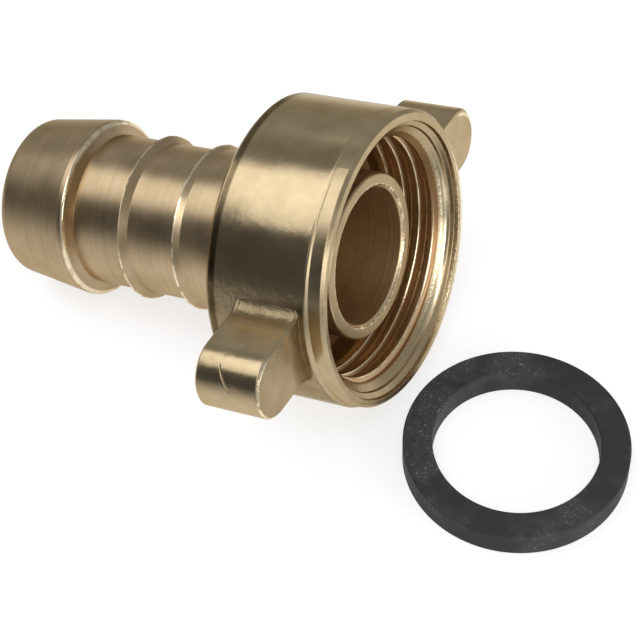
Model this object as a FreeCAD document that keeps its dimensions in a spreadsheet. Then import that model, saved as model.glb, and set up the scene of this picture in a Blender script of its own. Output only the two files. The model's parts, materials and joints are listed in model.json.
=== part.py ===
import FreeCAD, Part
import Sketcher
import math
import os

# A brass hose coupling: a barbed hose tail, a union nut with two wing lugs that
# swivels on it, and a flat rubber washer that lies beside them, taken out.
#
# Lengths are in millimetres and angles in degrees. The tail and the nut share one
# frame of their own: its Z runs along the coupling, towards the mouth, and its zero
# is the face of the tail's flange, where the washer seals.
#
# In the part's frame +Z is up, the floor is z = 0, and +X is the way the mouth
# points, seen from above. The tail rests on the round of its end, the nut on its back
# rim. The far lug is the one on the +Y side.

SIZES = [
    # The hose tail
    ("bore_radius", 7.3, "waterway through the tail"),
    ("bore_edge", 0.3, "chamfer at the mouth of the waterway"),
    ("nose_radius", 8.8, "spigot that centres the washer"),
    ("nose_length", 5.6, "spigot beyond the sealing face"),
    ("nose_edge", 0.15, "chamfer round the spigot"),
    ("flange_radius", 11.8, "flange that the nut pulls on"),
    ("flange_thickness", 2.1, "flange, front to back"),
    ("journal_length", 4.2, "round land that the nut turns on"),
    ("journal_step", 0.5, "taper down from the land to the stem"),
    ("stem_radius", 8.6, "stem between the land and the near rib"),
    ("neck_radius", 8.25, "waist between the ribs"),
    ("rib_radius", 9.0, "crest of the two ribs"),
    ("rib_front", 0.75, "length of a rib's slope towards the nut"),
    ("rib_back", 0.25, "length of a rib's steep side"),
    ("rib_pitch", 6.8, "from barb to rib, and from rib to rib"),
    ("barb_radius", 9.75, "edge of the first barb"),
    ("barb_land", 0.65, "first barb's edge, with its rounding"),
    ("barb_round", 0.45, "rounding of the first barb's edge"),
    ("barb_back", 0.6, "length of the first barb's steep side"),
    ("barb_taper", 8.6, "length of the first barb's cone"),
    ("tail_reach", 26.8, "from the sealing face back to the first barb's edge"),
    ("end_radius", 8.6, "small end of the cone"),
    ("end_round", 1.1, "rounding of the tail's end"),
    # The wing nut
    ("nut_depth", 8.6, "from the rim back to the sealing face"),
    ("nut_wall", 2.4, "back wall of the nut"),
    ("nut_radius", 15.75, "round body of the nut"),
    ("nut_edge", 0.35, "chamfer round the nut's back"),
    ("band_depth", 0.05, "mean depth of the band turned at the mouth"),
    ("band_length", 1.65, "turned band, from its foot to the rim"),
    ("band_shift", 0.3, "how far the turned band is off the nut's centre"),
    ("band_side", 118.0, "direction of that shift"),
    ("rim_edge", 0.35, "chamfer round the rim"),
    ("lip_radius", 14.6, "inner edge of the flat rim"),
    ("lip_depth", 0.45, "step from the rim down to the ledge"),
    ("ledge_radius", 14.0, "inner edge of the ledge"),
    ("ledge_depth", 0.35, "fall of the ledge"),
    ("lead_step", 0.3, "step from the ledge down to the countersink"),
    ("lead_depth", 0.65, "depth of the countersink"),
    ("step_taper", 0.08, "taper of the two steps in the mouth"),
    ("thread_radius", 13.22, "major radius of the inside thread"),
    ("relief_radius", 13.6, "undercut behind the thread"),
    ("relief_length", 2.2, "length of the undercut"),
    ("hole_edge", 0.3, "chamfer of the hole in the back wall"),
    ("lug_tip", 24.6, "from the axis to the end of a lug"),
    ("lug_width", 7.3, "thickness of a lug across its flat sides"),
    ("lug_length", 7.2, "lug, along the coupling"),
    ("lug_setback", 1.0, "front of a lug behind the foot of the band"),
    ("lug_offset", 0.35, "how far both lugs sit to one side of the nut's middle"),
    ("root_round", 3.0, "wide hollow at one side of a lug's root"),
    ("root_corner", 2.0, "small hollow at the other side of the root"),
    ("root_sink", 0.1, "how far a hollow root runs into the round body"),
    ("lug_edge", 0.25, "bevel round a lug's edges"),
    ("lug_turn", 7.5, "turn of the nut from level lugs"),
    # The sealing washer
    ("washer_radius", 12.0, "outside of the washer"),
    ("washer_thickness", 3.0, "thickness of the washer"),
    ("washer_edge", 0.15, "bevel of the washer's edges"),
    # Clearances
    ("pass_gap", 0.2, "the first barb inside the hole of the nut"),
    ("turn_gap", 0.35, "the round land inside the hole of the nut"),
    ("seat_gap", 0.3, "the flange in front of the nut's back wall"),
    ("washer_gap", 0.05, "the washer round the spigot"),
    # Where the pieces lie on the floor
    ("coupling_x", 0.0, "sealing face, along X"),
    ("coupling_y", 0.0, "coupling, along Y"),
    ("washer_ahead", 16.45, "washer's centre in front of the rim's centre"),
    ("washer_aside", 5.4, "washer's centre to the right of the coupling"),
]

# Sizes that follow from the ones above
WORKED_OUT = [
    ("hole_radius", "barb_radius + pass_gap"),
    ("journal_radius", "hole_radius - turn_gap"),
    ("journal_end", "0 - flange_thickness - journal_length"),
    ("barb_edge_z", "0 - tail_reach"),
    ("barb_low_z", "barb_edge_z - barb_land"),
    ("end_z", "barb_low_z - barb_taper"),
    ("far_rib_z", "barb_edge_z + rib_pitch"),
    ("near_rib_z", "far_rib_z + rib_pitch"),
    ("shoulder_z", "0 - flange_thickness - seat_gap"),
    ("nut_back_z", "shoulder_z - nut_wall"),
    ("band_radius", "nut_radius - band_depth"),
    ("band_z", "nut_depth - band_length"),
    ("band_slope", "2 * (band_depth + band_shift)"),
    ("band_shift_x", "band_shift * cos(band_side * 1 deg)"),
    ("band_shift_z", "0 - band_shift * sin(band_side * 1 deg)"),
    ("lug_front_z", "band_z - lug_setback"),
    ("lug_back_z", "lug_front_z - lug_length"),
    ("lug_half", "lug_width / 2"),
    ("root_ring", "nut_radius - root_sink"),
    ("lug_foot", "nut_radius / 2"),
    ("far_round_flank", "lug_half + lug_offset"),
    ("far_corner_flank", "lug_half - lug_offset"),
    ("near_round_flank", "lug_half - lug_offset"),
    ("near_corner_flank", "lug_half + lug_offset"),
    ("relief_z", "shoulder_z + relief_length"),
    ("ledge_z", "nut_depth - lip_depth - ledge_depth"),
    ("thread_z", "ledge_z - lead_step - lead_depth"),
    ("foot_z", "nut_back_z + nut_edge"),
    ("cone_slope", "(barb_radius - end_radius) / barb_taper"),
    ("end_arc_z", "end_z + end_round"),
    ("end_arc_radius", "end_radius + end_round * (cone_slope - sqrt(1 + cone_slope^2))"),
    ("end_rise", "nut_radius - end_arc_radius"),
    ("end_run", "foot_z - end_arc_z"),
    ("end_lean", "atan(end_rise / end_run) - asin(end_round / sqrt(end_rise^2 + end_run^2))"),
    ("barb_lean", "atan((nut_radius - barb_radius) / (foot_z - barb_low_z))"),
    ("lean", "min(end_lean; barb_lean) / 1 deg"),
    ("lean_sine", "sin(lean * 1 deg)"),
    ("lean_cosine", "cos(lean * 1 deg)"),
    ("coupling_z", "nut_radius * lean_cosine - foot_z * lean_sine"),
    ("washer_hole", "nose_radius + washer_gap"),
    ("washer_x", "coupling_x + nut_depth * lean_cosine + washer_ahead"),
    ("washer_y", "coupling_y - washer_aside"),
]

# One formula each for where a hollow lug root meets the lug's side and the nut. The
# lugs sit to one side of the nut's middle, so each of the four roots has its own points.
ROOTS = [
    ("far_round", "root_round"),
    ("far_corner", "root_corner"),
    ("near_round", "root_round"),
    ("near_corner", "root_corner"),
]
ROOT_POINTS = [
    ("side", "sqrt((root_ring + {hollow})^2 - ({root}_flank + {hollow})^2)"),
    ("body_x", "({root}_flank + {hollow}) * root_ring / (root_ring + {hollow})"),
    ("body_y", "{root}_side * root_ring / (root_ring + {hollow})"),
]

TILTED = (
    "placement(vector(Sizes.coupling_x; Sizes.coupling_y; Sizes.coupling_z);"
    " rotation(vector(0; 1; 0); 90 - Sizes.lean){turn})"
)
TURNED = " * rotation(vector(0; 0; 1); 0 - Sizes.lug_turn)"


def fill_sheet(doc):
    """Write every size into the sheet, one alias to a cell."""
    sheet = doc.addObject("Spreadsheet::Sheet", "Sizes")
    row = 1
    for name, value, meaning in SIZES:
        sheet.set("A%d" % row, str(value))
        sheet.setAlias("A%d" % row, name)
        sheet.set("B%d" % row, meaning)
        row += 1
    rules = list(WORKED_OUT)
    for root, hollow in ROOTS:
        for ending, rule in ROOT_POINTS:
            rules.append((root + "_" + ending, rule.format(root=root, hollow=hollow)))
    for name, rule in rules:
        sheet.set("A%d" % row, "=" + rule)
        sheet.setAlias("A%d" % row, name)
        row += 1
    doc.recompute()
    return sheet


def new_body(doc, label):
    """Start one piece of the coupling."""
    body = doc.addObject("PartDesign::Body", label)
    body.Label = label
    return body


def new_sketch(body, name, role, lift=None, aside=None):
    """Put a sketch on one of the body's own planes, lifted off it or moved aside by a size."""
    sketch = body.newObject("Sketcher::SketchObject", name)
    plane = [item for item in body.Origin.OriginFeatures if item.Role == role][0]
    sketch.AttachmentSupport = [(plane, "")]
    sketch.MapMode = "FlatFace"
    if lift:
        sketch.setExpression("AttachmentOffset.Base.z", "Sizes." + lift)
    if aside:
        sketch.setExpression("AttachmentOffset.Base.x", "Sizes." + aside)
    return sketch


def sized(sheet, rule):
    """Value of a rule written with the sheet's names, for a sketch's first guess."""
    names = {name: getattr(sheet, name) for name, value, meaning in SIZES}
    total = 0.0
    for term in rule.replace("- ", "+ -").split("+"):
        term = term.strip()
        sign = 1.0
        if term.startswith("-"):
            sign = -1.0
            term = term[1:]
        if term in names:
            total += sign * names[term]
        elif term.replace(".", "", 1).isdigit():
            total += sign * float(term)
        else:
            total += sign * float(getattr(sheet, term))
    return total


def bind(sketch, kind, geometry, point, rule):
    """Tie one coordinate of a sketch point to the sheet."""
    text = " ".join("Sizes." + word if word[0].isalpha() else word for word in rule.split())
    sheet = sketch.Document.Sizes
    guess = sized(sheet, rule)
    index = sketch.addConstraint(Sketcher.Constraint(kind, -1, 1, geometry, point, guess))
    sketch.setExpression("Constraints[%d]" % index, text)


def draw_outline(sketch, corners):
    """Draw a closed outline whose corners are pairs of rules, across and along."""
    sheet = sketch.Document.Sizes
    spots = [FreeCAD.Vector(sized(sheet, across), sized(sheet, along), 0) for across, along in corners]
    count = len(spots)
    lines = [Part.LineSegment(spots[i], spots[(i + 1) % count]) for i in range(count)]
    sketch.addGeometry(lines, False)
    for i in range(count):
        sketch.addConstraint(Sketcher.Constraint("Coincident", i, 2, (i + 1) % count, 1))
    for i, (across, along) in enumerate(corners):
        bind(sketch, "DistanceX", i, 1, across)
        bind(sketch, "DistanceY", i, 1, along)


def round_corner(sketch, corner, size):
    """Round the corner of an outline at which its numbered line starts."""
    sides = [sketch.Geometry[i] for i in (corner - 1, corner)]
    middles = [(side.StartPoint + side.EndPoint) * 0.5 for side in sides]
    value = getattr(sketch.Document.Sizes, size)
    arc = sketch.GeometryCount
    sketch.fillet(corner - 1, corner, middles[0], middles[1], value, True, True)
    index = sketch.addConstraint(Sketcher.Constraint("Radius", arc, value))
    sketch.setExpression("Constraints[%d]" % index, "Sizes." + size)


def spin(body, name, kind, sketch):
    """Turn an outline round the coupling's axis, as a solid or as a cut."""
    feature = body.newObject(kind, name)
    feature.Profile = sketch
    feature.ReferenceAxis = (sketch, ["V_Axis"])
    feature.Angle = 360
    sketch.Document.recompute()
    return feature


def dress_edges(body, name, kind, measure, size, picked):
    """Round or bevel the edges of the body's last feature that the test picks."""
    base = body.Tip
    names = []
    for i, edge in enumerate(base.Shape.Edges):
        if picked(edge):
            names.append("Edge%d" % (i + 1))
    dressed = body.newObject(kind, name)
    dressed.Base = (base, names)
    dressed.setExpression(measure, "Sizes." + size)
    body.Document.recompute()
    return dressed


def reach(point):
    """Distance of a point from the body's own axis."""
    return math.hypot(point.x, point.y)


def make_hose_tail(doc):
    """The tail: spigot, flange, round land, stem, two ribs and the first barb."""
    sheet = doc.Sizes
    body = new_body(doc, "hose_tail")
    outline = new_sketch(body, "TailOutline", "XZ_Plane")
    barb_corner = ("barb_radius", "barb_edge_z")
    corners = [
        ("bore_radius", "nose_length - bore_edge"),
        ("bore_radius + bore_edge", "nose_length"),
        ("nose_radius - nose_edge", "nose_length"),
        ("nose_radius", "nose_length - nose_edge"),
        ("nose_radius", "0"),
        ("flange_radius", "0"),
        ("flange_radius", "0 - flange_thickness"),
        ("journal_radius", "0 - flange_thickness"),
        ("journal_radius", "journal_end"),
        ("stem_radius", "journal_end - journal_step"),
        ("stem_radius", "near_rib_z + rib_front"),
        ("rib_radius", "near_rib_z"),
        ("neck_radius", "near_rib_z - rib_back"),
        ("neck_radius", "far_rib_z + rib_front"),
        ("rib_radius", "far_rib_z"),
        ("neck_radius", "far_rib_z - rib_back"),
        ("neck_radius", "barb_edge_z + barb_back"),
        barb_corner,
        ("barb_radius", "barb_low_z"),
        ("end_radius", "end_z"),
        ("bore_radius", "end_z"),
    ]
    draw_outline(outline, corners)
    round_corner(outline, corners.index(barb_corner), "barb_round")
    spin(body, "TailTube", "PartDesign::Revolution", outline)

    def at_end(edge):
        middle = edge.Curve.Center if hasattr(edge.Curve, "Center") else None
        if middle is None:
            return False
        level = abs(middle.z - sheet.end_z) < 0.001
        return level and abs(edge.Curve.Radius - sheet.end_radius) < 0.001

    dress_edges(body, "TailEndRound", "PartDesign::Fillet", "Radius", "end_round", at_end)
    return body


def draw_lug(sketch, lug, sign):
    """Outline of one lug: flat sides, a round tip and hollow roots on the nut's wall."""
    sheet = sketch.Document.Sizes
    half = sheet.lug_half
    round_flank = getattr(sheet, lug + "_round_flank")
    corner_flank = getattr(sheet, lug + "_corner_flank")
    tip_centre = sheet.lug_tip - half
    first = sketch.GeometryCount

    def spot(across, along):
        return FreeCAD.Vector(sign * across, sign * along, 0)

    def root_point(root, ending):
        return getattr(sheet, lug + "_" + root + "_" + ending)

    def root_arc(side, flank, hollow, root):
        middle = spot(side * (flank + hollow), root_point(root, "side"))
        ends = [spot(side * flank, root_point(root, "side")),
                spot(side * root_point(root, "body_x"), root_point(root, "body_y"))]
        angles = [math.atan2(end.y - middle.y, end.x - middle.x) for end in ends]
        circle = Part.Circle(middle, FreeCAD.Vector(0, 0, 1), hollow)
        turn = (angles[1] - angles[0]) % (2 * math.pi)
        if turn < math.pi:
            return Part.ArcOfCircle(circle, angles[0], angles[0] + turn), (1, 2)
        return Part.ArcOfCircle(circle, angles[1], angles[1] + 2 * math.pi - turn), (2, 1)

    wide, wide_ends = root_arc(-1, round_flank, sheet.root_round, "round")
    small, small_ends = root_arc(1, corner_flank, sheet.root_corner, "corner")
    start = 0.0 if sign > 0 else math.pi
    middle = (corner_flank - round_flank) / 2
    tip = Part.ArcOfCircle(
        Part.Circle(spot(middle, tip_centre), FreeCAD.Vector(0, 0, 1), half), start, start + math.pi)
    foot = sheet.lug_foot
    wide_foot = spot(-root_point("round", "body_x"), root_point("round", "body_y"))
    small_foot = spot(root_point("corner", "body_x"), root_point("corner", "body_y"))
    pieces = [
        tip,
        Part.LineSegment(spot(-round_flank, tip_centre), spot(-round_flank, root_point("round", "side"))),
        wide,
        Part.LineSegment(wide_foot, spot(-half, foot)),
        Part.LineSegment(spot(-half, foot), spot(half, foot)),
        Part.LineSegment(spot(half, foot), small_foot),
        small,
        Part.LineSegment(spot(corner_flank, root_point("corner", "side")), spot(corner_flank, tip_centre)),
    ]
    sketch.addGeometry(pieces, False)
    ids = [first + i for i in range(len(pieces))]
    tip_id, left, hollow, inner_left, inner, inner_right, corner, right = ids
    joins = [
        (left, 2, hollow, wide_ends[0]), (hollow, wide_ends[1], inner_left, 1),
        (inner_left, 2, inner, 1), (inner, 2, inner_right, 1),
        (inner_right, 2, corner, small_ends[1]), (corner, small_ends[0], right, 1),
    ]
    for one, one_end, other, other_end in joins:
        sketch.addConstraint(Sketcher.Constraint("Coincident", one, one_end, other, other_end))

    def place(geometry, point, across, along):
        for kind, side, rule in (("DistanceX", across[0], across[1]), ("DistanceY", 1, along)):
            value = sign * side * getattr(sheet, rule)
            index = sketch.addConstraint(Sketcher.Constraint(kind, -1, 1, geometry, point, value))
            text = "Sizes." + rule if value >= 0 else "0 - Sizes." + rule
            sketch.setExpression("Constraints[%d]" % index, text)

    place(left, 2, (-1, lug + "_round_flank"), lug + "_round_side")
    place(inner_left, 1, (-1, lug + "_round_body_x"), lug + "_round_body_y")
    place(inner, 1, (-1, "lug_half"), "lug_foot")
    place(inner, 2, (1, "lug_half"), "lug_foot")
    place(inner_right, 2, (1, lug + "_corner_body_x"), lug + "_corner_body_y")
    place(right, 1, (1, lug + "_corner_flank"), lug + "_corner_side")
    sketch.addConstraint(Sketcher.Constraint("Vertical", left))
    sketch.addConstraint(Sketcher.Constraint("Vertical", right))
    sketch.addConstraint(Sketcher.Constraint("Tangent", tip_id, 2, left, 1))
    sketch.addConstraint(Sketcher.Constraint("Tangent", right, 2, tip_id, 1))
    for geometry, rule in ((corner, "root_corner"), (hollow, "root_round")):
        index = sketch.addConstraint(Sketcher.Constraint("Radius", geometry, getattr(sheet, rule)))
        sketch.setExpression("Constraints[%d]" % index, "Sizes." + rule)
    height = sign * tip_centre
    index = sketch.addConstraint(Sketcher.Constraint("DistanceY", -1, 1, tip_id, 3, height))
    text = "Sizes.lug_tip - Sizes.lug_half" if sign > 0 else "Sizes.lug_half - Sizes.lug_tip"
    sketch.setExpression("Constraints[%d]" % index, text)


def make_wing_nut(doc):
    """The union nut: a round blank with two wing lugs, turned at the mouth and inside."""
    sheet = doc.Sizes
    body = new_body(doc, "wing_nut")
    outline = new_sketch(body, "NutOutline", "XZ_Plane")
    draw_outline(outline, [
        ("0", "nut_depth"),
        ("nut_radius - rim_edge", "nut_depth"),
        ("nut_radius", "nut_depth - rim_edge"),
        ("nut_radius", "nut_back_z + nut_edge"),
        ("nut_radius - nut_edge", "nut_back_z"),
        ("0", "nut_back_z"),
    ])
    spin(body, "NutBlank", "PartDesign::Revolution", outline)

    lugs = new_sketch(body, "LugOutline", "XY_Plane", "lug_back_z")
    draw_lug(lugs, "far", 1)
    draw_lug(lugs, "near", -1)
    pad = body.newObject("PartDesign::Pad", "Lugs")
    pad.Profile = lugs
    pad.setExpression("Length", "Sizes.lug_length")
    doc.recompute()

    def on_lug(edge):
        points = [vertex.Point for vertex in edge.Vertexes]
        points.append(edge.valueAt((edge.FirstParameter + edge.LastParameter) / 2))
        outside = max(reach(point) for point in points) > sheet.nut_radius + sheet.lug_edge
        levels = (sheet.lug_front_z, sheet.lug_back_z)
        flat = any(max(abs(point.z - level) for point in points) < 0.001 for level in levels)
        return outside and flat

    dress_edges(body, "LugEdges", "PartDesign::Chamfer", "Size", "lug_edge", on_lug)

    band = new_sketch(body, "BandOutline", "XZ_Plane", "band_shift_z", "band_shift_x")
    draw_outline(band, [
        ("band_radius - rim_edge", "nut_depth"),
        ("band_radius", "nut_depth - rim_edge"),
        ("band_radius", "band_z"),
        ("band_radius + band_slope", "band_z - band_slope"),
        ("band_radius + band_slope", "nut_depth"),
    ])
    spin(body, "MouthBand", "PartDesign::Groove", band)

    inside = new_sketch(body, "InsideOutline", "XZ_Plane")
    draw_outline(inside, [
        ("0", "nut_depth"),
        ("lip_radius", "nut_depth"),
        ("lip_radius - step_taper", "nut_depth - lip_depth"),
        ("ledge_radius", "ledge_z"),
        ("ledge_radius - step_taper", "ledge_z - lead_step"),
        ("thread_radius", "thread_z"),
        ("thread_radius", "relief_z + relief_radius - thread_radius"),
        ("relief_radius", "relief_z"),
        ("relief_radius", "shoulder_z"),
        ("hole_radius", "shoulder_z"),
        ("hole_radius", "nut_back_z + hole_edge"),
        ("hole_radius + hole_edge", "nut_back_z"),
        ("0", "nut_back_z"),
    ])
    spin(body, "Inside", "PartDesign::Groove", inside)
    return body


def make_washer(doc):
    """The flat rubber washer, lying on the floor."""
    body = new_body(doc, "sealing_washer")
    outline = new_sketch(body, "WasherOutline", "XZ_Plane")
    draw_outline(outline, [
        ("washer_hole", "washer_edge"),
        ("washer_hole + washer_edge", "0"),
        ("washer_radius - washer_edge", "0"),
        ("washer_radius", "washer_edge"),
        ("washer_radius", "washer_thickness - washer_edge"),
        ("washer_radius - washer_edge", "washer_thickness"),
        ("washer_hole + washer_edge", "washer_thickness"),
        ("washer_hole", "washer_thickness - washer_edge"),
    ])
    spin(body, "WasherRing", "PartDesign::Revolution", outline)
    return body


def check(doc, bodies):
    """Stop if a feature failed or a piece isn't one valid solid."""
    for item in doc.Objects:
        if "Invalid" in item.State or "Error" in item.State:
            raise RuntimeError("%s failed: %s" % (item.Name, item.State))
    for body in bodies:
        shape = body.Shape
        if shape.isNull() or not shape.isValid() or len(shape.Solids) != 1:
            raise RuntimeError(body.Label + " is not one valid solid")


def main():
    doc = FreeCAD.newDocument("hose_coupling")
    fill_sheet(doc)
    tail = make_hose_tail(doc)
    nut = make_wing_nut(doc)
    washer = make_washer(doc)
    tail.setExpression("Placement", TILTED.format(turn=""))
    nut.setExpression("Placement", TILTED.format(turn=TURNED))
    washer.setExpression("Placement.Base.x", "Sizes.washer_x")
    washer.setExpression("Placement.Base.y", "Sizes.washer_y")
    doc.recompute()

    bodies = [tail, nut, washer]
    check(doc, bodies)
    blank, winged, dressed, banded, turned = [
        doc.getObject(name).Shape.Volume for name in ("NutBlank", "Lugs", "LugEdges", "MouthBand", "Inside")]
    if not (blank < winged and turned < banded < dressed < winged):
        raise RuntimeError("the lugs, their bevels, the band or the inside of the nut changed nothing")

    os.makedirs("parts", exist_ok=True)
    for body in bodies:
        body.Shape.exportStep("parts/" + body.Label + ".step")
        box = body.Shape.BoundBox
        print("%-15s volume %9.2f  x %7.2f %7.2f  y %7.2f %7.2f  z %7.3f %7.3f" % (
            body.Label, body.Shape.Volume, box.XMin, box.XMax, box.YMin, box.YMax, box.ZMin, box.ZMax))


main()
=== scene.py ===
"""Looks of a brass hose coupling: a barbed tail, a wing nut that turns on it and a loose washer.

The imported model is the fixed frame. The tail, the nut and the washer keep their solids and get
their finishes here. The nut's inside thread is added as a ridge that turns with the nut.
Lengths are in millimetres up to the point where a mesh or a node is made, then in metres.
"""
import json
import logging
import math
from dataclasses import dataclass, field
from enum import Enum
from typing import Any, Union

import bpy
from mathutils import Matrix, Vector


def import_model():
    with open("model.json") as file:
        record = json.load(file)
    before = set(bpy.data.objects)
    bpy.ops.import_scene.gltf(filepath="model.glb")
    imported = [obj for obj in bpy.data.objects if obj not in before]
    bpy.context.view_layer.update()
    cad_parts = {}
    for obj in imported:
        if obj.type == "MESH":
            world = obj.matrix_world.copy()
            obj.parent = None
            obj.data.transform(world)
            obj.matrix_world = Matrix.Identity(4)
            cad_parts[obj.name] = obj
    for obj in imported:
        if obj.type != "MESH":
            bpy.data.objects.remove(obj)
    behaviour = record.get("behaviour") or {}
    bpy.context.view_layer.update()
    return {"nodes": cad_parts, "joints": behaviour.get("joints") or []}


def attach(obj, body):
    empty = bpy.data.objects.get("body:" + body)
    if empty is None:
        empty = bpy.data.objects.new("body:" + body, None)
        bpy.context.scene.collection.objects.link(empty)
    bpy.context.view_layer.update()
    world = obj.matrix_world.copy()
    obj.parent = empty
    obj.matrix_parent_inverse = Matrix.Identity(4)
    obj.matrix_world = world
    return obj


LOG = logging.getLogger("coupling")
MM = 0.001
WELD_METRES = 1e-7
HINGE_LEVEL = -3.6
Number = Union[int, float]
Pair = tuple[float, float]
# A range says where a mask is 0 and where it is 1, or where a stretch begins and ends.
Range = tuple[float, float]
Place = tuple[float, float, float]
Colour = tuple[float, float, float, float]
WHITE: Colour = (1.0, 1.0, 1.0, 1.0)
SLANT_TINT: Colour = (0.86, 0.76, 0.6, 1.0)
# The share of its width over which a mask round a value stays 1.
FLAT_SHARE = 0.4


class Body(Enum):
    """The bodies of the frame that a piece can ride on."""

    TAIL = "tail"
    NUT = "nut"


class Slot(Enum):
    """The material slots of the record."""

    TAIL = "tail_brass"
    NUT = "nut_brass"
    WASHER = "washer_rubber"


class Solid(Enum):
    """The solids of the frame."""

    TAIL = "hose_tail"
    NUT = "wing_nut"
    WASHER = "sealing_washer"


def direction(azimuth: float, elevation: float) -> Vector:
    """Return a direction.

    Args:
        azimuth: Its turn from +X towards +Y, in degrees.
        elevation: Its height above the horizon, in degrees.

    Returns:
        The direction, of length 1.
    """
    turn, lift = math.radians(azimuth), math.radians(elevation)
    flat = math.cos(lift)
    return Vector((math.cos(turn) * flat, math.sin(turn) * flat, math.sin(lift)))


@dataclass(frozen=True)
class Lie:
    """How the coupling lies.

    Z runs along it towards the mouth and is zero at the sealing face; X points downwards.
    """

    origin: Vector
    along: Vector

    @classmethod
    def from_joint(cls, joint: dict[str, Any], level: float) -> "Lie":
        """Find the lie from the joint that the nut turns on.

        Args:
            joint: The nut's joint, as the frame gives it.
            level: Where the joint sits along the coupling, in millimetres.

        Returns:
            The coupling's own frame.
        """
        along = Vector(joint["axis"]).normalized()
        return cls(Vector(joint["pos_m"]) - along * level * MM, along)

    def matrix(self) -> Matrix:
        """Work out how the coupling's frame lies in the model's.

        Returns:
            The matrix from the coupling's frame to the model's.
        """
        side = Vector((0.0, 1.0, 0.0))
        down = side.cross(self.along)
        turned = Matrix((down, side, self.along)).transposed().to_4x4()
        return Matrix.Translation(self.origin) @ turned


class Wire:
    """A number carried by a shader socket. Arithmetic on it adds Math nodes."""

    def __init__(self, shader: "Shader", socket: bpy.types.NodeSocket) -> None:
        """Wrap a socket of a shader."""
        self.shader = shader
        self.socket = socket

    def _math(self, operation: str, *values: Union["Wire", Number]) -> "Wire":
        """Add one Math node.

        Args:
            operation: The node's operation.
            values: Its inputs, in order.

        Returns:
            The node's result.
        """
        inputs = dict(enumerate(values))
        node = self.shader.add("ShaderNodeMath", {"operation": operation}, inputs)
        return Wire(self.shader, node.outputs[0])

    def __add__(self, other: Union["Wire", Number]) -> "Wire":
        """Add."""
        return self._math("ADD", self, other)

    def __radd__(self, other: Number) -> "Wire":
        """Add, with the number first."""
        return self._math("ADD", other, self)

    def __sub__(self, other: Union["Wire", Number]) -> "Wire":
        """Subtract."""
        return self._math("SUBTRACT", self, other)

    def __rsub__(self, other: Number) -> "Wire":
        """Subtract from a number."""
        return self._math("SUBTRACT", other, self)

    def __mul__(self, other: Union["Wire", Number]) -> "Wire":
        """Multiply."""
        return self._math("MULTIPLY", self, other)

    def __rmul__(self, other: Number) -> "Wire":
        """Multiply, with the number first."""
        return self._math("MULTIPLY", other, self)

    def __truediv__(self, other: Union["Wire", Number]) -> "Wire":
        """Divide."""
        return self._math("DIVIDE", self, other)

    def __rtruediv__(self, other: Number) -> "Wire":
        """Divide a number."""
        return self._math("DIVIDE", other, self)

    def larger(self, other: Union["Wire", Number]) -> "Wire":
        """Return the larger of the two."""
        return self._math("MAXIMUM", self, other)

    def smaller(self, other: Union["Wire", Number]) -> "Wire":
        """Return the smaller of the two."""
        return self._math("MINIMUM", self, other)

    def root(self) -> "Wire":
        """Return the square root."""
        return self._math("SQRT", self)

    def size(self) -> "Wire":
        """Return the number without its sign."""
        return self._math("ABSOLUTE", self)

    def part(self) -> "Wire":
        """Return what is left above the whole number below."""
        return self._math("FRACT", self)

    def angle(self, other: "Wire") -> "Wire":
        """Return the angle whose sine goes as this and whose cosine goes as the other."""
        return self._math("ARCTAN2", self, other)

    def step(self, low: float, high: float) -> "Wire":
        """Rise smoothly from 0 to 1.

        Args:
            low: Where the result is 0; it may be the larger of the two.
            high: Where the result is 1.

        Returns:
            The result, between 0 and 1.
        """
        settings = {"interpolation_type": "SMOOTHSTEP"}
        inputs = {"Value": self, "From Min": min(low, high), "From Max": max(low, high)}
        node = self.shader.add("ShaderNodeMapRange", settings, inputs)
        rise = Wire(self.shader, node.outputs["Result"])
        return rise if low < high else 1.0 - rise

    def near(self, value: Number, width: float) -> "Wire":
        """Return 1 round a value, falling to 0 at a distance from it."""
        return (self - value).size().step(width, width * FLAT_SHARE)

    def within(self, low: float, high: float, soft: float) -> "Wire":
        """Return 1 between two values, falling to 0 at each over a soft edge."""
        return self.step(low, low + soft) * self.step(high, high - soft)


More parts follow.
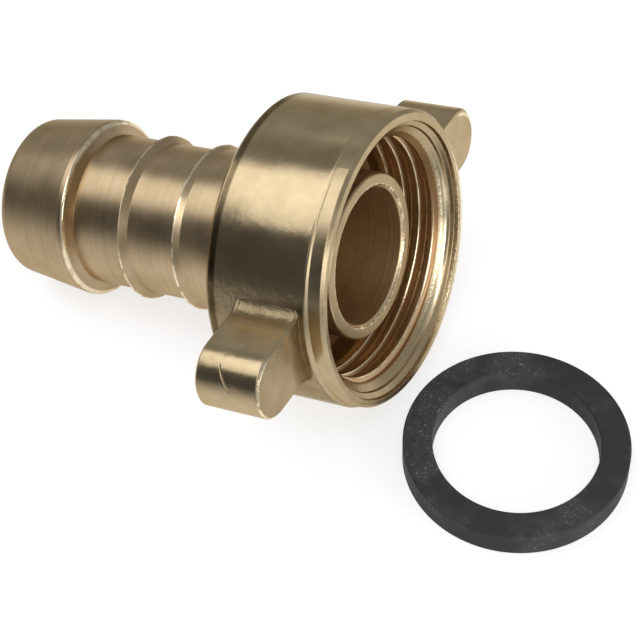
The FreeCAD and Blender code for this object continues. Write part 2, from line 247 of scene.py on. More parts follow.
class Shader:
    """The node tree of a material or of the world."""

    def __init__(self, tree: bpy.types.NodeTree) -> None:
        """Empty the tree and start afresh."""
        self.tree = tree
        tree.nodes.clear()

    def add(
        self,
        kind: str,
        settings: dict[str, Any] | None = None,
        inputs: dict[Any, Any] | None = None,
    ) -> bpy.types.Node:
        """Add any node.

        Args:
            kind: The node's type.
            settings: Its properties, set before its sockets.
            inputs: Values, sockets or wires, by socket name or number.

        Returns:
            The node.
        """
        node = self.tree.nodes.new(kind)
        for name, value in (settings or {}).items():
            setattr(node, name, value)
        for name, value in (inputs or {}).items():
            if isinstance(value, Wire):
                value = value.socket
            if isinstance(value, bpy.types.NodeSocket):
                self.tree.links.new(value, node.inputs[name])
            else:
                node.inputs[name].default_value = value
        return node

    def wire(self, node: bpy.types.Node, output: Union[str, int] = 0) -> Wire:
        """Wrap one output of a node."""
        return Wire(self, node.outputs[output])

    def noise(
        self, place: bpy.types.NodeSocket, scale: float, detail: float = 3.0, rough: float = 0.5
    ) -> Wire:
        """Add noise on a vector.

        Args:
            place: The vector.
            scale: How many waves there are to one unit of it.
            detail: How many finer layers the noise has.
            rough: How strong each finer layer is against the one before.

        Returns:
            The noise, between 0 and 1.
        """
        inputs = {"Vector": place, "Scale": scale, "Detail": detail, "Roughness": rough}
        return self.wire(self.add("ShaderNodeTexNoise", None, inputs), "Fac")

    def lines(self, along: Wire, scale: float, detail: float = 2.0, rough: float = 0.6) -> Wire:
        """Add noise along one number, for turned lines.

        Args:
            along: The number.
            scale: How many lines there are to one unit of it.
            detail: How many finer layers the noise has.
            rough: How strong each finer layer is against the one before.

        Returns:
            The noise, between 0 and 1.
        """
        settings = {"noise_dimensions": "1D"}
        inputs = {"W": along, "Scale": scale, "Detail": detail, "Roughness": rough}
        return self.wire(self.add("ShaderNodeTexNoise", settings, inputs), "Fac")

    def blend(self, factor: Wire, low: Any, high: Any) -> bpy.types.NodeSocket:
        """Mix two colours.

        Args:
            factor: How much of the second colour there is.
            low: The first colour.
            high: The second colour.

        Returns:
            The mixed colour.
        """
        settings = {"data_type": "RGBA", "clamp_factor": True}
        node = self.add("ShaderNodeMix", settings, {0: factor, 6: low, 7: high})
        return node.outputs[2]

    def relief(self, height: Wire, depth: float, edge: float = 0.0) -> bpy.types.NodeSocket:
        """Return a normal that follows a height, over edges that look rounded.

        Args:
            height: The height, where 1 is the full depth.
            depth: The full depth, in millimetres.
            edge: The radius of the edges, in millimetres.

        Returns:
            The normal.
        """
        inputs = {"Strength": 1.0, "Distance": depth * MM, "Height": height}
        if edge:
            round_edges = self.add("ShaderNodeBevel", {"samples": 6}, {"Radius": edge * MM})
            inputs["Normal"] = round_edges.outputs["Normal"]
        return self.add("ShaderNodeBump", None, inputs).outputs["Normal"]

    def metal(
        self, colour: bpy.types.NodeSocket, rough: Wire, normal: bpy.types.NodeSocket
    ) -> None:
        """Finish the tree with bare brass, which stays warm where it is seen at a slant.

        Args:
            colour: Its colour.
            rough: Its roughness.
            normal: Its normal.
        """
        skin = self.add("ShaderNodeBsdfPrincipled", None, {
            "Base Color": colour, "Metallic": 1.0, "Roughness": rough, "Normal": normal,
            "Specular Tint": SLANT_TINT})
        self.add("ShaderNodeOutputMaterial", None, {"Surface": skin.outputs["BSDF"]})


class Cylinder:
    """Where a point of a turned piece lies: along its axis and out from it, in millimetres."""

    def __init__(self, shader: Shader, lie: Lie) -> None:
        """Read the object's own coordinates and turn them to the coupling's frame.

        Args:
            shader: The material's nodes.
            lie: How the coupling lies.
        """
        back = lie.matrix().inverted()
        inputs = {
            "Vector": shader.add("ShaderNodeTexCoord").outputs["Object"],
            "Location": back.to_translation() / MM,
            "Rotation": back.to_euler("XYZ"),
            "Scale": (1.0 / MM, 1.0 / MM, 1.0 / MM)}
        mapping = shader.add("ShaderNodeMapping", {"vector_type": "POINT"}, inputs)
        self.shader = shader
        self.spot = mapping.outputs["Vector"]
        parts = shader.add("ShaderNodeSeparateXYZ", None, {"Vector": self.spot})
        self.down, self.side = shader.wire(parts, "X"), shader.wire(parts, "Y")
        self.along = shader.wire(parts, "Z")
        self.out = (self.down * self.down + self.side * self.side).root()
        self.round = self.side.angle(self.down)
        self.path = self.along + self.out

    def distance(self, centre: Place) -> Wire:
        """Measure how far a point is from a place.

        Args:
            centre: The place, in the coupling's frame.

        Returns:
            The distance, in millimetres.
        """
        settings = {"operation": "DISTANCE"}
        node = self.shader.add("ShaderNodeVectorMath", settings, {0: self.spot, 1: centre})
        return self.shader.wire(node, "Value")


def new_material(name: str) -> tuple[bpy.types.Material, Shader]:
    """Make an empty material.

    Args:
        name: Its name.

    Returns:
        The material and its nodes.
    """
    material = bpy.data.materials.new(name)
    material.use_nodes = True
    return material, Shader(material.node_tree)


@dataclass(frozen=True)
class TurnedBrass:
    """Satin brass of the tail, straight from the lathe, with fine lines round the axis."""

    name: str = "turned_brass"
    light: Colour = (0.59, 0.45, 0.285, 1.0)
    dark: Colour = (0.45, 0.34, 0.205, 1.0)
    # The bore's colours are lighter than the outside brass: painted light in the bore.
    inside: Colour = (0.8, 0.62, 0.39, 1.0)
    inside_dark: Colour = (0.66, 0.49, 0.29, 1.0)
    # Painted highlight colour for the rib crests, the barb edge and the nose's inner edge.
    painted_sheen: Colour = (0.95, 0.82, 0.58, 1.0)
    bore_out: Range = (7.52, 7.48)
    crests_out: Range = (8.86, 8.95)
    ribs_along: Range = (-25.5, -9.5)
    ribs_fade: float = 0.1
    barb_level: float = -26.7
    barb_width: float = 0.34
    barb_out: Range = (9.2, 9.4)
    mouth_radius: float = 7.55
    mouth_width: float = 0.2
    nose_along: Range = (5.3, 5.4)
    smooth: float = 0.25
    rough: float = 0.4
    bore_rough: float = 0.1
    sheen_polish: float = 0.6
    line_height: float = 0.0035
    edge_round: float = 0.06

    def build(self, lie: Lie) -> bpy.types.Material:
        """Make the material.

        Args:
            lie: How the coupling lies, which gives the lines their axis.

        Returns:
            The material.
        """
        material, shader = new_material(self.name)
        place = Cylinder(shader, lie)
        fine = shader.lines(place.path, scale=9.0)
        broad = shader.lines(place.path, scale=1.6, detail=3.0)
        cloud = shader.noise(place.spot, scale=0.35)
        bore = place.out.step(*self.bore_out)
        painted_sheen = self._painted_sheen(shader, place)
        tone = (broad * 0.5 + cloud * 0.9 - 0.2).step(0.2, 0.8)
        colour = shader.blend(tone, self.dark, self.light)
        # Painted highlights on the rib crests, the barb edge and the nose's inner edge.
        colour = shader.blend(painted_sheen, colour, self.painted_sheen)
        # Lighter bore colour: painted light.
        colour = shader.blend(bore, colour, self._bore_colour(shader, place))
        rough = self.smooth + (self.rough - self.smooth) * (fine * 0.5 + cloud * 0.5)
        rough = (rough + bore * self.bore_rough) * (1.0 - painted_sheen * self.sheen_polish)
        height = (fine * 0.7 + broad * 0.5) * (1.0 - painted_sheen)
        shader.metal(colour, rough, shader.relief(height, self.line_height, self.edge_round))
        return material

    def _bore_colour(self, shader: Shader, place: Cylinder) -> bpy.types.NodeSocket:
        """Mix the bore's colour, lightened as painted light, with the marks of the drill round it.

        Args:
            shader: The material's nodes.
            place: Where a point lies.

        Returns:
            The colour.
        """
        marks = shader.lines(place.path, scale=3.0, detail=3.0, rough=0.7)
        patches = shader.noise(place.spot, scale=0.5, detail=2.0)
        tone = (marks * 0.7 + patches * 0.3).step(0.35, 0.65)
        return shader.blend(tone, self.inside_dark, self.inside)

    def _painted_sheen(self, shader: Shader, place: Cylinder) -> Wire:
        """Find where crests and edges get painted highlights.

        Args:
            shader: The material's nodes.
            place: Where a point lies.

        Returns:
            How strong the painted highlights are, between 0 and 1.
        """
        patches = shader.noise(place.spot, scale=0.9).step(0.36, 0.5)
        ribs = place.out.step(*self.crests_out) * patches
        ribs = ribs * place.along.within(*self.ribs_along, self.ribs_fade)
        barb = place.along.near(self.barb_level, self.barb_width)
        barb = barb * place.out.step(*self.barb_out)
        beads = shader.noise(place.spot, scale=2.4, detail=2.0).step(0.46, 0.54)
        mouth = place.out.near(self.mouth_radius, self.mouth_width)
        mouth = mouth * place.along.step(*self.nose_along) * beads
        return ribs.larger(barb * (0.55 + patches * 0.45)).larger(mouth)


@dataclass(frozen=True)
class Mouth:
    """The turned steps of the nut's mouth, painted shade and painted highlights on its right side.

    The sides are a middle and a reach, in degrees from the lowest point.
    """

    along: Range = (6.85, 7.05)
    ledge: float = 14.27
    ledge_width: float = 0.3
    cone_edge: float = 13.45
    ledge_edge: float = 13.86
    rim_edge: float = 14.66
    edge_width: float = 0.16
    line_level: float = 0.8
    rim_out: Range = (14.9, 15.1)
    # The side of the ledge that gets painted shade.
    dark_side: Pair = (64.0, 58.0)
    highlight_side: Pair = (56.0, 56.0)

    def _on(self, place: Cylinder, side: Pair) -> Wire:
        """Return 1 on one side of the mouth."""
        middle, reach = map(math.radians, side)
        return place.along.step(*self.along) * place.round.near(middle, reach)

    def darkening(self, place: Cylinder) -> Wire:
        """Return where the ledge gets painted shade."""
        return place.out.near(self.ledge, self.ledge_width) * self._on(place, self.dark_side)

    def painted_highlights(self, shader: Shader, place: Cylinder) -> Wire:
        """Find where the rim, two edges and the line between them get painted highlights.

        Args:
            shader: The material's nodes.
            place: Where a point lies.

        Returns:
            How bright they are, between 0 and 1.
        """
        grain = shader.noise(place.spot, scale=3.0, detail=4.0, rough=0.7)
        rim = place.out.step(*self.rim_out) * grain.step(0.36, 0.46)
        levels = (self.rim_edge, self.cone_edge, self.ledge_edge)
        outer, inner, line = (place.out.near(level, self.edge_width) for level in levels)
        # Painted highlights on the rim, its two edges and the line between them, one side only.
        bright = rim.larger(outer.larger(inner) * grain.step(0.44, 0.56))
        return bright.larger(line * self.line_level) * self._on(place, self.highlight_side)


@dataclass(frozen=True)
class Marks:
    """Two nicks at the root of one lug and a scratch across its tip.

    Each nick is a level along the coupling and a width.
    """

    nicks: tuple[Pair, Pair] = ((-1.5, 0.2), (-0.7, 0.16))
    root_from: Range = (-16.3, -15.8)
    root_to: Range = (-14.1, -14.4)
    nicks_down: Range = (-5.4, -5.7)
    scratch_slope: float = 0.74
    scratch_level: float = 6.05
    scratch_width: float = 0.14
    scratch_down: Range = (-6.4, -4.3)
    scratch_fade: float = 0.3
    tip_side: Range = (-21.5, -22.0)

    def mask(self, place: Cylinder) -> Wire:
        """Find the marks.

        Args:
            place: Where a point lies.

        Returns:
            1 in the marks and 0 elsewhere.
        """
        first, second = (place.along.near(level, width) for level, width in self.nicks)
        root = place.side.step(*self.root_from) * place.side.step(*self.root_to)
        nicks = first.larger(second) * root * place.down.step(*self.nicks_down)
        slant = place.along - place.down * self.scratch_slope
        tip = place.down.within(*self.scratch_down, self.scratch_fade)
        tip = tip * place.side.step(*self.tip_side)
        return nicks.larger(slant.near(self.scratch_level, self.scratch_width) * tip)


@dataclass(frozen=True)
class Zones:
    """Where the finish of the nut changes; each is 1 inside the zone and 0 outside."""

    turned: Wire
    inner: Wire
    lug: Wire
    # Darker, uneven colour in the lug roots.
    root: Wire
    # Painted shade on the ledge.
    ledge: Wire
    # A darker ring round the nut near its back edge.
    dark_ring: Wire
    # Painted highlights.
    bright: Wire
    marks: Wire


@dataclass(frozen=True)
class ForgedBrass:
    """Smooth forged brass of the nut, turned only at its mouth and inside."""

    name: str = "forged_brass"
    light: Colour = (0.6, 0.477, 0.3, 1.0)
    dark: Colour = (0.5, 0.39, 0.235, 1.0)
    # Coppery tint inside the nut: painted reflection of light bounced between brass faces.
    inside: Colour = (0.66, 0.46, 0.27, 1.0)
    # Painted highlight colour for the mouth's right side and the lug tips' edges.
    highlight_colour: Colour = (0.98, 0.87, 0.62, 1.0)
    # Dark colour: painted shade on the ledge, and the darker lug roots and back ring.
    darkening: Colour = (0.08, 0.05, 0.02, 1.0)
    smooth: float = 0.12
    rough: float = 0.26
    turned_rough: float = 0.09
    inner_rough: float = 0.08
    lug_rough: float = 0.06
    root_rough: float = 0.16
    mark_rough: float = 0.15
    highlight_polish: float = 0.4
    turned_from: float = 6.6
    turned_along: Range = (6.5, 6.7)
    wall_out: Range = (15.3, 15.1)
    inner_along: Range = (-4.7, 6.95)
    inner_fade: float = 0.1
    lug_out: Range = (16.0, 17.5)
    root_side: Range = (13.2, 14.4)
    root_out: Range = (18.4, 17.0)
    # A darker ring round the nut near its back edge.
    dark_ring_level: float = -4.0
    dark_ring_width: float = 0.5
    dark_ring_from: Range = (15.4, 15.6)
    dark_ring_to: Range = (16.0, 15.9)
    lug_centre: Place = (-2.98, -20.79, 5.95)
    lug_radius: float = 3.5
    lug_edge_width: float = 0.24
    tip_out: Range = (21.6, 22.6)
    tip_along: Range = (5.7, 5.83)
    draft: float = 0.063
    crown: float = 0.00225
    swell_height: float = 0.06
    skin_height: float = 0.008
    lug_height: float = 0.04
    root_height: float = 0.07
    line_height: float = 0.004
    burr_height: float = 0.007
    mark_depth: float = 0.04
    edge_round: float = 0.09
    mouth: Mouth = Mouth()
    marks: Marks = Marks()

    def build(self, lie: Lie) -> bpy.types.Material:
        """Make the material.

        Args:
            lie: How the coupling lies.

        Returns:
            The material.
        """
        material, shader = new_material(self.name)
        place = Cylinder(shader, lie)
        skin = shader.noise(place.spot, scale=1.4, detail=4.0, rough=0.6)
        cloud = shader.noise(place.spot, scale=0.4)
        zones = self._zones(shader, place, cloud)
        rough = self.smooth + (self.rough - self.smooth) * (skin * 0.6 + cloud * 0.4)
        rough = rough + zones.turned * self.turned_rough + zones.inner * self.inner_rough
        rough = rough + zones.lug * self.lug_rough + zones.root * self.root_rough
        rough = rough * (1.0 - zones.bright * self.highlight_polish) + zones.marks * self.mark_rough
        normal = shader.relief(self._height(shader, place, zones, skin), 1.0, self.edge_round)
        shader.metal(self._colour(shader, zones, cloud), rough, normal)
        return material

    def _zones(self, shader: Shader, place: Cylinder, cloud: Wire) -> Zones:
        """Find the zones of the nut.

        Args:
            shader: The material's nodes.
            place: Where a point lies.
            cloud: Noise that makes the painted shade and the darker ring uneven.

        Returns:
            The zones.
        """
        within_wall = place.out.step(*self.wall_out)
        turned = place.along.step(*self.turned_along).larger(within_wall)
        # Painted shade on the ledge, on one side of the mouth.
        ledge = self.mouth.darkening(place) * (0.6 + cloud * 0.7)
        root = place.side.size().step(*self.root_side) * place.out.step(*self.root_out)
        dark_ring = place.along.near(self.dark_ring_level, self.dark_ring_width)
        dark_ring = dark_ring * place.out.step(*self.dark_ring_to) * place.out.step(*self.dark_ring_from)
        # Painted highlights on the mouth and on the lug tips' edges.
        bright = self.mouth.painted_highlights(shader, place).larger(self._lug_edges(shader, place))
        return Zones(
            turned=turned,
            inner=within_wall * place.along.within(*self.inner_along, self.inner_fade),
            lug=place.out.step(*self.lug_out),
            root=root * (1.0 - turned),
            ledge=ledge,
            dark_ring=dark_ring * (0.3 + cloud * 0.9),
            bright=bright * (1.0 - ledge),
            marks=self.marks.mask(place))

    def _colour(self, shader: Shader, zones: Zones, cloud: Wire) -> bpy.types.NodeSocket:
        """Mix the colour, with painted shade and highlights, and darker lug roots and ring.

        Args:
            shader: The material's nodes.
            zones: The zones of the nut.
            cloud: Noise that makes the colour uneven.

        Returns:
            The colour.
        """
        colour = shader.blend((cloud * 1.4 - 0.2).step(0.1, 0.9), self.dark, self.light)
        # Coppery inside: painted reflection.
        colour = shader.blend(zones.inner, colour, self.inside)
        # Painted shade on the ledge.
        colour = shader.blend(zones.ledge, colour, self.darkening)
        # Darker, uneven colour in the lug roots.
        colour = shader.blend(zones.root * (cloud * 1.3 - 0.25), colour, self.darkening)
        # Darker ring near the back edge.
        colour = shader.blend(zones.dark_ring, colour, self.darkening)
        # Painted highlights on the edges.
        return shader.blend(zones.bright, colour, self.highlight_colour)

    def _height(self, shader: Shader, place: Cylinder, zones: Zones, skin: Wire) -> Wire:
        """Add up the height of the skin: waves, draft, turned lines and marks.

        Args:
            shader: The material's nodes.
            place: Where a point lies.
            zones: The zones of the nut.
            skin: Fine noise of the forged skin.

        Returns:
            The height, in millimetres.
        """
        swell = shader.noise(place.spot, scale=0.16, detail=2.0)
        fine = shader.lines(place.path, scale=8.0)
        dents = shader.noise(place.spot, scale=0.6, detail=2.0)
        forged = place.along.smaller(self.turned_from)
        height = (1.0 - zones.turned) * (swell * self.swell_height + skin * self.skin_height)
        height = height + zones.turned * fine * self.line_height + zones.bright * self.burr_height
        height = height + zones.lug * dents * self.lug_height
        height = height + zones.root * skin * self.root_height
        return height + (self.draft - forged * self.crown) * forged - zones.marks * self.mark_depth

    def _lug_edges(self, shader: Shader, place: Cylinder) -> Wire:
        """Find where the front edges of the lug tips get painted highlights.

        Args:
            shader: The material's nodes.
            place: Where a point lies.

        Returns:
            How bright they are, between 0 and 1.
        """
        down, side, along = self.lug_centre
        one, other = map(place.distance, ((down, side, along), (-down, -side, along)))
        near = one.near(self.lug_radius, self.lug_edge_width)
        far = other.near(self.lug_radius, self.lug_edge_width)
        tip = place.out.step(*self.tip_out) * place.along.step(*self.tip_along)
        return near.larger(far) * tip * shader.noise(place.spot, scale=0.8).step(0.36, 0.5)


@dataclass(frozen=True)
class ThreadBrass:
    """Thread brass with a coppery painted reflection and painted highlights on its crest edges."""

    name: str = "thread_brass"
    # Coppery tint: painted reflection of light bounced between brass faces.
    deep: Colour = (0.8, 0.56, 0.33, 1.0)
    dark: Colour = (0.6, 0.38, 0.2, 1.0)
    # Painted shade colour for the face where the lead cut trims the crests.
    cut_shade: Colour = (0.3, 0.175, 0.08, 1.0)
    # Painted highlight colour for the crest edges.
    bright: Colour = (0.95, 0.8, 0.56, 1.0)
    smooth: float = 0.16
    rough: float = 0.36
    crest_fade: Range = (0.2, 0.1)
    edge_width: float = 0.19
    cut_width: float = 0.06
    line_height: float = 0.002
    edge_height: float = 0.02

    def build(self, lie: Lie, thread: "PipeThread") -> bpy.types.Material:
        """Make the material.

        Args:
            lie: How the coupling lies.
            thread: The thread, which gives the line of its crest.

        Returns:
            The material.
        """
        material, shader = new_material(self.name)
        place = Cylinder(shader, lie)
        turn = (place.along - thread.start) / thread.pitch - place.round / math.tau
        across = ((turn + 0.5).part() - 0.5).size() * thread.pitch
        crest = (place.out - thread.crest_radius()).step(*self.crest_fade)
        cloud = shader.noise(place.spot, scale=0.6)
        # Painted highlights along the crest edges, broken up by noise.
        edge = across.near(thread.half_crest, self.edge_width) * crest
        edge = edge * (0.5 + cloud).step(0.8, 1.0)
        # Painted shade on the face of the lead cut.
        cut_shade = place.along - place.out
        cut_shade = cut_shade.near(thread.lead_level - thread.major, self.cut_width)
        tone = shader.lines(place.path, scale=2.2, detail=3.0, rough=0.7).step(0.35, 0.65)
        # Coppery tone along the turned lines, as painted reflection.
        colour = shader.blend(tone, self.dark, self.deep)
        colour = shader.blend(edge, shader.blend(cut_shade, colour, self.cut_shade), self.bright)
        rough = self.smooth + (self.rough - self.smooth) * (1.0 - edge)
        fine = shader.lines(place.path, scale=10.0)
        height = fine * self.line_height + edge * self.edge_height
        shader.metal(colour, rough, shader.relief(height, 1.0))
        return material


@dataclass(frozen=True)
class Rubber:
    """Matt charcoal rubber with a dusty, faintly pitted skin."""

    name: str = "dusty_rubber"
    base: Colour = (0.023, 0.023, 0.024, 1.0)
    dust: Colour = (0.062, 0.063, 0.06, 1.0)
    speck: Colour = (0.3, 0.3, 0.3, 1.0)
    smooth: float = 0.55
    pit_depth: float = 0.03
    pit_strength: float = 0.6

    def build(self) -> bpy.types.Material:
        """Make the material.

        Returns:
            The material.
        """
        material, shader = new_material(self.name)
        place = shader.add("ShaderNodeTexCoord").outputs["Object"]
        cloud = shader.noise(place, scale=160.0, detail=4.0, rough=0.6)
        grain = shader.noise(place, scale=2600.0, detail=3.0, rough=0.7)
        specks = shader.noise(place, scale=4200.0, detail=2.0, rough=0.6).step(0.6, 0.68)
        dusty = cloud.step(0.42, 0.62) * 0.7 + grain * 0.3
        colour = shader.blend(dusty, self.base, self.dust)
        colour = shader.blend(specks * cloud.step(0.5, 0.6) * 0.7, colour, self.speck)
        pits = shader.add("ShaderNodeBump", None, {
            "Strength": self.pit_strength, "Distance": self.pit_depth * MM,
            "Height": grain * 0.5 + cloud * 0.5})
        skin = shader.add("ShaderNodeBsdfPrincipled", None, {
            "Base Color": colour, "Roughness": self.smooth + grain * 0.25,
            "Normal": pits.outputs["Normal"]})
        shader.add("ShaderNodeOutputMaterial", None, {"Surface": skin.outputs["BSDF"]})
        return material


def select_only(piece: bpy.types.Object) -> None:
    """Select one object and make it active.

    Args:
        piece: The object.
    """
    bpy.ops.object.select_all(action="DESELECT")
    piece.select_set(True)
    bpy.context.view_layer.objects.active = piece


def apply_modifier(piece: bpy.types.Object, kind: str, **settings: Any) -> None:
    """Add a modifier to an object, set it up and apply it.

    Args:
        piece: The object.
        kind: The modifier's type.
        settings: Its properties.
    """
    select_only(piece)
    modifier = piece.modifiers.new(kind.title(), kind)
    for name, value in settings.items():
        setattr(modifier, name, value)
    bpy.ops.object.modifier_apply(modifier=modifier.name)


@dataclass
class PipeThread:
    """The nut's inside thread, 14 to the inch: a flat-topped ridge wound on the nut's wall."""

    pitch: float = 1.814
    major: float = 13.22
    depth: float = 0.54
    sunk: float = 0.06
    half_base: float = 0.8
    half_crest: float = 0.44
    crest_round: float = 0.07
    start: float = 0.35
    turns: float = 4.6
    steps: int = 160
    lead_level: float = 6.85
    lead_reach: float = 3.0
    lead_sides: int = 256
    smooth_below: float = 30.0
    name: str = "nut_thread"

    def crest_radius(self) -> float:
        """Return the radius of the crests."""
        return self.major - self.depth

    def build(self, lie: Lie) -> bpy.types.Object:
        """Wind the ridge and lay it in the nut.

        Args:
            lie: How the coupling lies.

        Returns:
            The thread, as one closed ridge.
        """
        ridge = self._profile()
        steps = int(self.steps * self.turns)
        apply_modifier(
            ridge, "SCREW", axis="Z", angle=self.turns * math.tau,
            screw_offset=self.turns * self.pitch * MM, steps=steps, render_steps=steps,
            use_merge_vertices=False, use_smooth_shade=True)
        self._close(ridge)
        self._cut_lead(ridge)
        ridge.data.transform(lie.matrix())
        ridge.name = ridge.data.name = self.name
        select_only(ridge)
        bpy.ops.object.shade_smooth_by_angle(angle=math.radians(self.smooth_below))
        return ridge

    def _profile(self) -> bpy.types.Object:
        """Make the ridge's four-cornered section, with its two crest corners rounded.

        Returns:
            The section, as a loop of edges.
        """
        bpy.ops.object.select_all(action="DESELECT")
        bpy.ops.mesh.primitive_circle_add(vertices=4, radius=MM, fill_type="NOTHING")
        section = bpy.context.object
        base, crest = self.major + self.sunk, self.crest_radius()
        corners = (
            (crest, -self.half_crest), (crest, self.half_crest),
            (base, self.half_base), (base, -self.half_base))
        for vertex, (out, along) in zip(section.data.vertices, corners):
            vertex.co = (out * MM, 0.0, (self.start + along) * MM)
            vertex.select = out == crest
        select_only(section)
        bpy.ops.object.mode_set(mode="EDIT")
        bpy.ops.mesh.select_mode(type="VERT")
        bpy.ops.mesh.bevel(
            offset=self.crest_round * MM, segments=3, affect="VERTICES", profile=0.5)
        bpy.ops.object.mode_set(mode="OBJECT")
        return section

    @staticmethod
    def _close(ridge: bpy.types.Object) -> None:
        """Close the two ends of the ridge and turn its faces outwards.

        Args:
            ridge: The wound ridge.
        """
        select_only(ridge)
        bpy.ops.object.mode_set(mode="EDIT")
        bpy.ops.mesh.select_all(action="DESELECT")
        bpy.ops.mesh.select_mode(type="EDGE")
        bpy.ops.mesh.select_non_manifold(extend=False, use_boundary=True)
        bpy.ops.mesh.edge_face_add()
        bpy.ops.mesh.select_all(action="SELECT")
        bpy.ops.mesh.remove_doubles(threshold=WELD_METRES)
        bpy.ops.mesh.normals_make_consistent(inside=False)
        bpy.ops.object.mode_set(mode="OBJECT")

    def _cut_lead(self, ridge: bpy.types.Object) -> None:
        """Cut the crests back along the countersink of the mouth.

        Args:
            ridge: The closed ridge.
        """
        bpy.ops.object.select_all(action="DESELECT")
        bpy.ops.mesh.primitive_cone_add(
            vertices=self.lead_sides, depth=2.0 * self.lead_reach * MM,
            radius1=(self.major - self.lead_reach) * MM,
            radius2=(self.major + self.lead_reach) * MM,
            location=(0.0, 0.0, self.lead_level * MM))
        cone = bpy.context.object
        apply_modifier(ridge, "BOOLEAN", operation="DIFFERENCE", object=cone, solver="EXACT")
        bpy.data.objects.remove(cone)


@dataclass
class Coupling:
    """The whole coupling: the tail, the nut with its thread, and the washer."""

    lie: Lie
    thread: PipeThread = field(default_factory=PipeThread)
    tail_finish: TurnedBrass = field(default_factory=TurnedBrass)
    nut_finish: ForgedBrass = field(default_factory=ForgedBrass)
    thread_finish: ThreadBrass = field(default_factory=ThreadBrass)
    rubber: Rubber = field(default_factory=Rubber)

    @staticmethod
    def dress(node: bpy.types.Object, slot: Slot, material: bpy.types.Material) -> None:
        """Give a solid of the frame its finish."""
        node.material_slots[slot.value].material = material
        LOG.info("%s keeps its solid and gets %s", node.name, material.name)

    def build(self, nodes: dict[str, bpy.types.Object]) -> None:
        """Dress the solids and add the thread.

        Args:
            nodes: The solids of the frame, by name.
        """
        self.dress(nodes[Solid.TAIL.value], Slot.TAIL, self.tail_finish.build(self.lie))
        self.dress(nodes[Solid.NUT.value], Slot.NUT, self.nut_finish.build(self.lie))
        self.dress(nodes[Solid.WASHER.value], Slot.WASHER, self.rubber.build())
        ridge = self.thread.build(self.lie)
        ridge.data.materials.clear()
        ridge.data.materials.append(self.thread_finish.build(self.lie, self.thread))
        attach(ridge, Body.NUT.value)
        LOG.info("%s has %d faces", ridge.name, len(ridge.data.polygons))


@dataclass(frozen=True)
class Lamp:
    """A soft lamp that faces the object.

    Its direction is in degrees, its distance and size in metres; a level of 1 looks white.
    """

    name: str
    azimuth: float
    elevation: float
    distance: float
    size: Pair
    level: float

    def hang(self) -> None:
        """Hang the lamp."""
        towards = direction(self.azimuth, self.elevation)
        data = bpy.data.lights.new(self.name, "AREA")
        data.shape = "RECTANGLE"
        data.size, data.size_y = self.size
        data.energy = self.level * math.pi * data.size * data.size_y
        lamp = bpy.data.objects.new(self.name, data)
        lamp.location = towards * self.distance
        lamp.rotation_euler = towards.to_track_quat("Z", "Y").to_euler()
        bpy.context.scene.collection.objects.link(lamp)


@dataclass(frozen=True)
class Spot:
    """A round patch of the room, lighter or darker by its level.

    Its direction is in degrees. So are full and reach, the angles from its middle up to which it
    is even and at which it is gone.
    """

    azimuth: float
    elevation: float
    full: float
    reach: float
    level: float

    def shade(self, shader: Shader, way: bpy.types.NodeSocket) -> Wire:
        """Return what the patch adds to the room.

        Args:
            shader: The world's nodes.
            way: The direction looked in.

        Returns:
            The change of the room's level.
        """
        inputs = {0: way, 1: direction(self.azimuth, self.elevation)}
        node = shader.add("ShaderNodeVectorMath", {"operation": "DOT_PRODUCT"}, inputs)
        edge, middle = (math.cos(math.radians(angle)) for angle in (self.reach, self.full))
        return shader.wire(node, "Value").step(edge, middle) * self.level


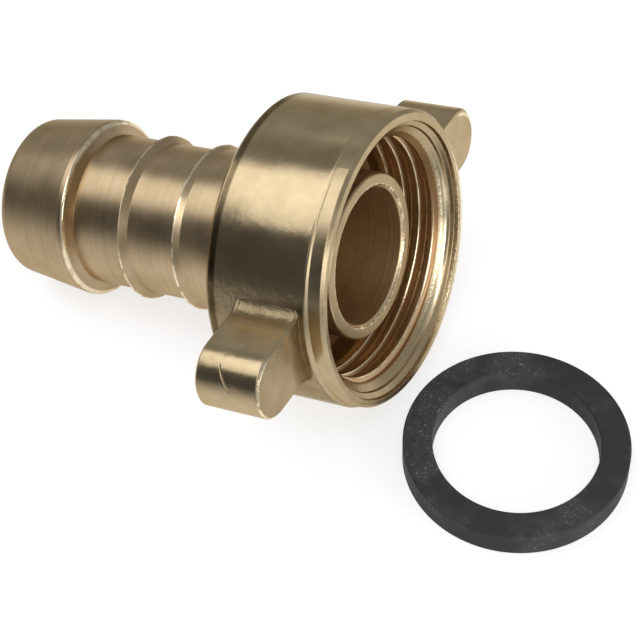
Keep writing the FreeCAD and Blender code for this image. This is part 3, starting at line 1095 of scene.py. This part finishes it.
@dataclass
class Studio:
    """White floor, a large soft lamp behind on the left, a fill, a side lamp, and the camera."""

    azimuth: float = 27.72
    elevation: float = 51.45
    roll: float = -2.24
    distance: float = 227.94
    aim: Place = (-2.162, 2.652, 0.0)
    lens: float = 114.27
    sensor: float = 36.0
    clip: Range = (0.01, 20.0)
    floor_side: float = 900.0
    floor_centre: Pair = (20.0, 10.0)
    floor_fade: Range = (145.0, 43.5)
    floor_base: Colour = (0.5, 0.5, 0.5, 1.0)
    floor_seen: Colour = (0.7, 0.7, 0.7, 1.0)
    floor_near: Colour = (0.54, 0.54, 0.54, 1.0)
    floor_far: Colour = (0.02, 0.02, 0.02, 1.0)
    lamps: tuple[Lamp, ...] = (
        Lamp("key", 190.0, 59.0, 0.8, (0.58, 0.7), 1.42),
        Lamp("fill", -70.0, 62.0, 0.9, (0.45, 0.45), 2.8),
        Lamp("side", -12.0, 18.0, 0.8, (0.5, 0.36), 3.2))
    room_level: float = 0.35
    spots: tuple[Spot, ...] = (
        Spot(-125.0, 12.0, 26.0, 52.0, -0.27),
        Spot(148.0, 42.0, 4.0, 18.0, -0.14),
        Spot(131.0, 26.0, 1.5, 6.0, 0.22))

    def _frame(self) -> tuple[Vector, Vector, Vector]:
        """Work out how the camera is turned.

        Returns:
            The camera's right, up and back directions.
        """
        turn, lift, roll = map(math.radians, (self.azimuth, self.elevation, self.roll))
        flat = math.cos(lift)
        back = Vector((math.sin(turn) * flat, -math.cos(turn) * flat, math.sin(lift)))
        right = Vector((math.cos(turn), math.sin(turn), 0.0))
        up = back.cross(right)
        sideways = right * math.cos(roll) + up * math.sin(roll)
        upright = up * math.cos(roll) - right * math.sin(roll)
        return sideways, upright, back

    def camera(self) -> None:
        """Place the camera at the photograph's angle."""
        right, up, back = self._frame()
        data = bpy.data.cameras.new("camera")
        data.lens = self.lens
        data.sensor_width = self.sensor
        data.clip_start, data.clip_end = self.clip
        camera = bpy.data.objects.new("camera", data)
        turned = Matrix((right, up, back)).transposed().to_4x4()
        place = Vector(self.aim) * MM + back * self.distance * MM
        camera.matrix_world = Matrix.Translation(place) @ turned
        bpy.context.scene.collection.objects.link(camera)
        bpy.context.scene.camera = camera

    def floor(self) -> None:
        """Lay the floor: it takes shadows, and shows pale to the camera and in the metal."""
        bpy.ops.object.select_all(action="DESELECT")
        bpy.ops.mesh.primitive_plane_add(size=self.floor_side * MM, location=(0.0, 0.0, 0.0))
        floor = bpy.context.object
        floor.name = floor.data.name = "floor"
        floor.data.materials.append(self._floor_white())

    def _floor_white(self) -> bpy.types.Material:
        """Make the floor's material, which glows for the camera and in reflections only.

        Returns:
            The material.
        """
        material, shader = new_material("floor_white")
        path = shader.add("ShaderNodeLightPath")
        camera = shader.wire(path, "Is Camera Ray")
        seen = camera.larger(shader.wire(path, "Is Glossy Ray"))
        seen = seen.larger(shader.wire(path, "Is Transmission Ray"))
        shown = shader.blend(self._close_by(shader), self.floor_far, self.floor_near)
        shown = shader.blend(camera, shown, self.floor_seen)
        matt = shader.add("ShaderNodeBsdfDiffuse", None, {"Color": self.floor_base})
        glow = shader.add("ShaderNodeEmission", None, {"Color": shown, "Strength": 1.0})
        lit = shader.add("ShaderNodeAddShader", None, {0: matt.outputs[0], 1: glow.outputs[0]})
        both = {0: seen, 1: matt.outputs[0], 2: lit.outputs[0]}
        surface = shader.add("ShaderNodeMixShader", None, both)
        shader.add("ShaderNodeOutputMaterial", None, {"Surface": surface.outputs[0]})
        return material

    def _close_by(self, shader: Shader) -> Wire:
        """Find the floor round the object.

        Args:
            shader: The material's nodes.

        Returns:
            1 near the object and 0 far from it.
        """
        place = shader.add("ShaderNodeTexCoord").outputs["Object"]
        parts = shader.add("ShaderNodeSeparateXYZ", None, {"Vector": place})
        ahead = shader.wire(parts, "X") / MM - self.floor_centre[0]
        aside = shader.wire(parts, "Y") / MM - self.floor_centre[1]
        return (ahead * ahead + aside * aside).root().step(*self.floor_fade)

    def world(self) -> None:
        """Surround the object with a grey room, darker low on the left and behind the lamp."""
        world = bpy.data.worlds.new("room")
        bpy.context.scene.world = world
        world.use_nodes = True
        shader = Shader(world.node_tree)
        way = shader.add("ShaderNodeTexCoord").outputs["Generated"]
        level = self.room_level
        for spot in self.spots:
            level = level + spot.shade(shader, way)
        grey = {"Red": level, "Green": level, "Blue": level}
        shade = shader.add("ShaderNodeCombineColor", None, grey).outputs[0]
        room = shader.add("ShaderNodeBackground", None, {"Color": shade, "Strength": 1.0})
        white = shader.add("ShaderNodeBackground", None, {"Color": WHITE, "Strength": 1.0})
        seen = shader.wire(shader.add("ShaderNodeLightPath"), "Is Camera Ray")
        both = {0: seen, 1: room.outputs[0], 2: white.outputs[0]}
        surface = shader.add("ShaderNodeMixShader", None, both)
        shader.add("ShaderNodeOutputWorld", None, {"Surface": surface.outputs[0]})

    def build(self) -> None:
        """Set up the floor, the lamps, the room and the camera."""
        self.floor()
        for lamp in self.lamps:
            lamp.hang()
        self.world()
        self.camera()
        bpy.context.scene.view_settings.view_transform = "Standard"


def corners(box: tuple[Vector, Vector]) -> list[list[float]]:
    """Return a box's two corners as plain numbers."""
    return [list(map(float, corner)) for corner in box]


def main() -> None:
    """Build the looks round the frame."""
    logging.basicConfig(level=logging.INFO, format="%(name)s: %(message)s")
    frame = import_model()
    coupling = Coupling(Lie.from_joint(frame["joints"][0], HINGE_LEVEL))
    Studio().build()
    coupling.build(frame["nodes"])


if __name__ == "__main__":
    main()
